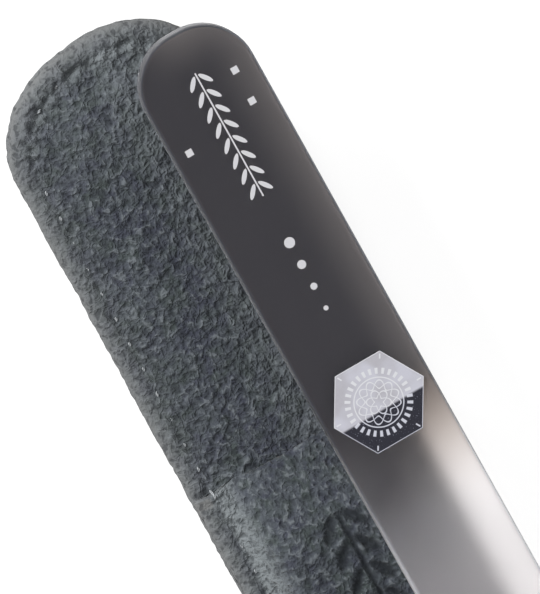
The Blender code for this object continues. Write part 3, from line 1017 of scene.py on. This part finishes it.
NAVY_FROM = mm(0.7, 1.0)
BROAD_SIZE = 2.5 * MM
BROAD_RANGE = (0.35, 0.65)
BRUSHED_SIZE = 0.35 * MM
BRUSHED_SHARE = 0.3
FLECK_SIZE = 0.14 * MM
FLECK_RANGE = (0.66, 0.74)
FLECK_SHARE = 0.5
FOIL_RELIEF = 0.01 * MM
SILVERS = (srgb(186, 184, 192), srgb(208, 208, 220))
BRUSHED_SILVER = srgb(222, 222, 230)
NAVIES = (srgb(14, 15, 28), srgb(28, 28, 46))
FLECKS = srgb(150, 152, 170)
FOIL_LINES = (srgb(232, 233, 238), srgb(214, 216, 228))
LINE_RIM = (0.7, 1.3)
PETAL_LINES = ((0.85 * MM, 0.40 * MM, 3.0), (1.80 * MM, 0.42 * MM, 6.0))
PETAL_HALF_WIDTH = 0.07 * MM
RING_RADIUS = 2.5 * MM
RING_HALF_WIDTH = 0.06 * MM
TICK_COUNT = 30.0
CORNER_COUNT = 6.0
TICK_RIM = (0.17, 0.27)
TICKS_BETWEEN = mm(2.85, 3.45)
CORNER_TICK_RIM = mm(0.05, 0.09)
CORNER_TICKS_BETWEEN = mm(4.35, 4.85)
FOIL_RIM = mm(4.36, 4.41)


def petal_line(radius, turn, middle, swing, petals, phase, half_width):
    # A closed wavy line round the middle
    wave = calc("COSINE", total(product(turn, petals), phase))
    line = total(product(wave, swing), middle)
    apart = size_of(less(radius, line))
    return within(apart, [half_width * share for share in LINE_RIM])


def foil_lines(along, across):
    radius = hypotenuse(along, across)
    turn = calc("ARCTAN2", across, along)
    lines = []
    for middle, swing, petals in PETAL_LINES:
        for phase in (0.0, math.pi):
            shape = (middle, swing, petals, phase, PETAL_HALF_WIDTH)
            lines.append(petal_line(radius, turn, *shape))
    lines.append(petal_line(radius, turn, RING_RADIUS, 0.0, 1.0, 0.0, RING_HALF_WIDTH))
    comb = calc("PINGPONG", product(turn, TICK_COUNT / (2 * math.pi)), 0.5)
    ticks = within(comb, TICK_RIM)
    lines.append(product(ticks, between(radius, *TICKS_BETWEEN)))
    corner = calc("PINGPONG", product(turn, CORNER_COUNT / (2 * math.pi)), 0.5)
    off_corner = product(less(0.5, corner), radius)
    corner_ticks = within(off_corner, CORNER_TICK_RIM)
    lines.append(product(corner_ticks, between(radius, *CORNER_TICKS_BETWEEN)))
    from_middle = size_of(along)
    for lean in (math.radians(60), math.radians(-60)):
        leaning = total(product(along, math.cos(lean)), product(across, math.sin(lean)))
        from_middle = larger(from_middle, size_of(leaning))
    lines.append(remap(from_middle, *FOIL_RIM))
    drawing = lines[0]
    for line in lines[1:]:
        drawing = larger(drawing, line)
    return drawing


def foil_material():
    material, tree, shader = new_material("two_tone_foil")
    place, along, across, _ = file_place(tree)
    brushed = speckle(place, BRUSHED_SIZE, detail=3.0, roughness=0.6)
    broad = speckle(place, BROAD_SIZE, detail=1.0)
    silver = blend_colour(remap(broad, *BROAD_RANGE), *SILVERS)
    silver = blend_colour(product(brushed, BRUSHED_SHARE), silver, BRUSHED_SILVER)
    navy = blend_colour(brushed, *NAVIES)
    flecks = speckle(place, FLECK_SIZE, detail=1.0, shift=(2.2, 0.0, 0.0))
    flecks = product(remap(flecks, *FLECK_RANGE), FLECK_SHARE)
    navy = blend_colour(flecks, navy, FLECKS)
    dark = remap(along, *NAVY_FROM)
    ground = blend_colour(dark, silver, navy)
    drawing = foil_lines(along, across)
    colour = blend_colour(drawing, ground, blend_colour(dark, *FOIL_LINES))
    relief = bump(drawing, FOIL_RELIEF, strength=0.5)
    fill(shader, {"Base Color": colour, "Normal": relief, "Metallic": 0.2, "Roughness": 0.35})
    return material


# Seam: a twisted thread that shows only where a stitch rises out of the nap

STITCH_HOLE_DEEP = 0.75 * MM
STITCH_TOP_DEEP = 0.10 * MM
STITCH_SHOWN = 0.16
STITCH_PAST_MOUTH = 0.50 * MM
STITCH_LEAN = 0.12 * MM
STITCH_WAY_STEP = 0.05 * MM
SEAM_CLIMB = 0.35 * MM
SEAM_PULLED_DEPTH = 1.2 * PULLED_DEPTH
STRANDS = 2
STRAND_TURNS = 5.0
STITCH_STEPS = 24
STRAND_SIDES = 6


class SeamWalk:
    # The seam's closed line, from the middle of the far end, anticlockwise from above

    def __init__(self):
        ring = ring_at(closed_columns(-FAR_OFF, FAR_OFF, FINE, FINE), SEAM_INSET)
        middle = int(np.argmax(ring[:, 0]))
        self.ring = np.vstack([ring[middle:], ring[: middle + 1]])
        self.along = run_along(self.ring[:, 0], self.ring[:, 1])
        self.length = self.along[-1]

    def distance_to(self, x, side):
        # Along the seam to the place at x, on the side of +Y or -Y
        apart = np.abs(self.ring[:, 0] - x) + FAR_OFF * (self.ring[:, 1] * side < 0)
        return float(self.along[int(np.argmin(apart))])

    def at(self, distance):
        distance = distance % self.length
        x = float(np.interp(distance, self.along, self.ring[:, 0]))
        y = float(np.interp(distance, self.along, self.ring[:, 1]))
        return Vector((x, y, 0.0))


def stitch_tubes(level, outward):
    # level gives the suede's height beside the seam at x; outward is +1 above and -1 below
    walk = SeamWalk()
    count = round(walk.length / STITCH_LENGTH)
    pitch = walk.length / count
    strand_radius = THREAD_DIAMETER / 4
    start = walk.distance_to(MOUTH_X + STITCH_PAST_MOUTH, -1.0) - 0.5 * pitch
    verts = []
    faces = []
    for stitch in range(count):
        lean = STITCH_LEAN * noise.noise(Vector((stitch * 1.7, outward, 0.5)))
        for strand in range(STRANDS):
            centres = []
            for step in range(STITCH_STEPS + 1):
                share = step / STITCH_STEPS
                distance = start + (stitch + share) * pitch
                place = walk.at(distance)
                ahead = walk.at(distance + STITCH_WAY_STEP) - walk.at(distance - STITCH_WAY_STEP)
                side = Vector((-ahead.y, ahead.x, 0.0)).normalized()
                rise = math.exp(-(((share - 0.5) / STITCH_SHOWN) ** 2))
                deep = STITCH_HOLE_DEEP + (STITCH_TOP_DEEP - STITCH_HOLE_DEEP) * rise
                turn = 2 * math.pi * (STRAND_TURNS * share + strand / STRANDS)
                centre = place + side * (strand_radius * math.cos(turn) + lean * rise)
                centre.z = level(place.x) - outward * deep + strand_radius * math.sin(turn)
                centres.append(centre)
            add_tube(verts, faces, centres, strand_radius)
    return verts, faces


def add_tube(verts, faces, centres, radius):
    first = len(verts)
    for i, centre in enumerate(centres):
        before = centres[max(i - 1, 0)]
        after = centres[min(i + 1, len(centres) - 1)]
        ahead = (after - before).normalized()
        side = ahead.cross(Vector((0, 0, 1))).normalized()
        up = side.cross(ahead)
        for k in range(STRAND_SIDES):
            angle = 2 * math.pi * k / STRAND_SIDES
            verts.append(centre + (side * math.cos(angle) + up * math.sin(angle)) * radius)
    rings = len(centres)
    for i in range(rings - 1):
        for k in range(STRAND_SIDES):
            a = first + i * STRAND_SIDES + k
            b = first + i * STRAND_SIDES + (k + 1) % STRAND_SIDES
            faces.append((a, b, b + STRAND_SIDES, a + STRAND_SIDES))
    faces.append(tuple(first + k for k in reversed(range(STRAND_SIDES))))
    last = first + (rings - 1) * STRAND_SIDES
    faces.append(tuple(last + k for k in range(STRAND_SIDES)))


def stitch_object(name, node_name, level, outward, material):
    piece = add_object(name, smooth_mesh(name, *stitch_tubes(level, outward), material))
    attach(piece, "sleeve")
    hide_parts(node_name)


def top_level(x):
    # The seam lies on the lining up to the mouth, and climbs steeply on to the front there.
    # Round the tongue's end it is pulled deeper into the nap.
    share = min(1.0, max(0.0, (x - MOUTH_X) / SEAM_CLIMB))
    pulled = SEAM_PULLED_DEPTH * float(round_end_share(x))
    return LINING_MARGIN_TOP + (FRONT_MARGIN_TOP - LINING_MARGIN_TOP) * share - pulled


def back_level(x):
    return BACK_NAP_LEVEL


def make_suede(material):
    lower = flat_face(BACK_NAP_LEVEL, -1, BACK_PITCH, True, no_swell)
    upper = flat_face(BACK_HIGH.z, 1, HIDDEN_BACK_PITCH, False, no_swell)
    columns = closed_columns(-FAR_OFF, FAR_OFF, 2 * FINE, 2 * FINE)
    back = panel_object("suede_back", "back_panel", columns, (lower, upper), True, False, FAR_OFF, material)
    lower = flat_face(LINING_LOW.z, -1, HIDDEN_LINING_PITCH, False, lining_swell)
    upper = flat_face(LINING_MARGIN_TOP, 1, FINE, True, eased_swell)
    columns = closed_columns(-FAR_OFF, LINING_FINE_TO, COARSE, FINE)
    lining = panel_object(
        "suede_lining", "lining_panel", columns, (lower, upper), True, True, LINING_SHOWN_TO, material
    )
    columns, sections = mouth_columns(), pocket_sections()
    front = panel_object("suede_front", "front_panel", columns, sections, False, True, FAR_OFF, material)
    return back, lining, front


# Studio

VIEW_TILT_ALONG = math.radians(10.91)
VIEW_TILT_ACROSS = math.radians(4.65)
VIEW_TURN = math.radians(61.37)
VIEW_DISTANCE = 1000 * MM
VIEW_TARGET = Vector((-41.76 * MM, 4.52 * MM, 9.0 * MM))
VIEW_SHIFT_RIGHT = 0.335 * MM
VIEW_SHIFT_UP = -0.94 * MM
VIEW_HEIGHT = 58.61 * MM
SENSOR = 36.0
KEY_POWER = 8.5
KEY_SIZE = 0.35
KEY_DISTANCE = 0.9
KEY_RIGHT, KEY_UP, KEY_BACK = -0.95, 0.42, 0.75
SOFT_LIGHT = 0.42
FLOOR_REACH = 3.0
FLOOR_DROP = 0.02 * MM
FLOOR_SHADE = 0.42
FLOOR_GLOW = 0.83
FLOOR_GLOW_THROUGH_GLASS = 0.95
WHITE = (1.0, 1.0, 1.0, 1.0)


def view_axes():
    back = Vector((-math.tan(VIEW_TILT_ALONG), -math.tan(VIEW_TILT_ACROSS), 1.0)).normalized()
    along = (Vector((1, 0, 0)) - back * back.x).normalized()
    across = back.cross(along)
    right = math.cos(VIEW_TURN) * along + math.sin(VIEW_TURN) * across
    up = back.cross(right)
    return right, up, back


def make_camera():
    right, up, back = view_axes()
    data = bpy.data.cameras.new("view")
    data.lens = SENSOR * VIEW_DISTANCE / VIEW_HEIGHT
    data.sensor_width = SENSOR
    camera = add_object("view", data)
    place = VIEW_TARGET + right * VIEW_SHIFT_RIGHT + up * VIEW_SHIFT_UP + back * VIEW_DISTANCE
    turned = Matrix((right, up, back)).transposed().to_4x4()
    camera.matrix_world = Matrix.Translation(place) @ turned
    bpy.context.scene.camera = camera


def make_key_lamp():
    right, up, back = view_axes()
    way = back * KEY_BACK + right * KEY_RIGHT + up * KEY_UP
    data = bpy.data.lights.new("key", "AREA")
    data.shape = "DISK"
    data.size = KEY_SIZE
    data.energy = KEY_POWER
    lamp = add_object("key", data)
    lamp.location = VIEW_TARGET + way.normalized() * KEY_DISTANCE
    lamp.rotation_mode = "QUATERNION"
    lamp.rotation_quaternion = way.to_track_quat("Z", "Y")
    # Frosted glass takes its sheen from the white surroundings, as under a tent, not from glare
    lamp.visible_glossy = False
    lamp.visible_transmission = False


def seen_rays(tree):
    # 1 for rays that show the background: straight from the camera, or by way of metal or glass
    path = node(tree, "ShaderNodeLightPath")
    seen = larger(path.outputs["Is Camera Ray"], path.outputs["Is Glossy Ray"])
    return larger(seen, path.outputs["Is Transmission Ray"])


def make_floor():
    corners = [(x * FLOOR_REACH, y * FLOOR_REACH, 0) for x, y in ((-1, -1), (1, -1), (1, 1), (-1, 1))]
    mesh = bpy.data.meshes.new("studio_floor")
    mesh.from_pydata(corners, [], [(0, 1, 2, 3)])
    floor = add_object("studio_floor", mesh)
    floor.location.z = -FLOOR_DROP
    material, tree, shader = new_material("white_floor")
    glow = product(seen_rays(tree), FLOOR_GLOW)
    through_glass = node(tree, "ShaderNodeLightPath").outputs["Is Transmission Ray"]
    brighter = product(through_glass, FLOOR_GLOW_THROUGH_GLASS)
    finish = {
        "Base Color": (FLOOR_SHADE, FLOOR_SHADE, FLOOR_SHADE, 1.0),
        "Roughness": 0.9,
        "Specular IOR Level": 0.0,
        "Emission Color": WHITE,
        "Emission Strength": larger(glow, brighter),
    }
    fill(shader, finish)
    mesh.materials.append(material)


def make_world():
    world = bpy.data.worlds.new("studio")
    world.use_nodes = True
    bpy.context.scene.world = world
    tree = world.node_tree
    strength = blend_value(seen_rays(tree), SOFT_LIGHT, 1.0)
    fill(tree.nodes["Background"], {"Color": WHITE, "Strength": strength})


def make_studio():
    make_camera()
    make_floor()
    make_world()
    make_key_lamp()
    bpy.context.scene.view_settings.view_transform = "Standard"


def dress_node(name, material):
    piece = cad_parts[name]
    piece.data.materials.clear()
    piece.data.materials.append(material)


def main():
    suede = suede_material()
    thread = thread_material()
    panels = make_suede(suede)
    stitch_object("seam_stitches_top", "needle_thread", top_level, 1, thread)
    stitch_object("seam_stitches_back", "bobbin_thread", back_level, -1, thread)
    dress_node("stiffener_sheet", board_material())
    dress_node("glass_blade", glass_material())
    dress_node("hexagon_label", foil_material())
    make_studio()


main()
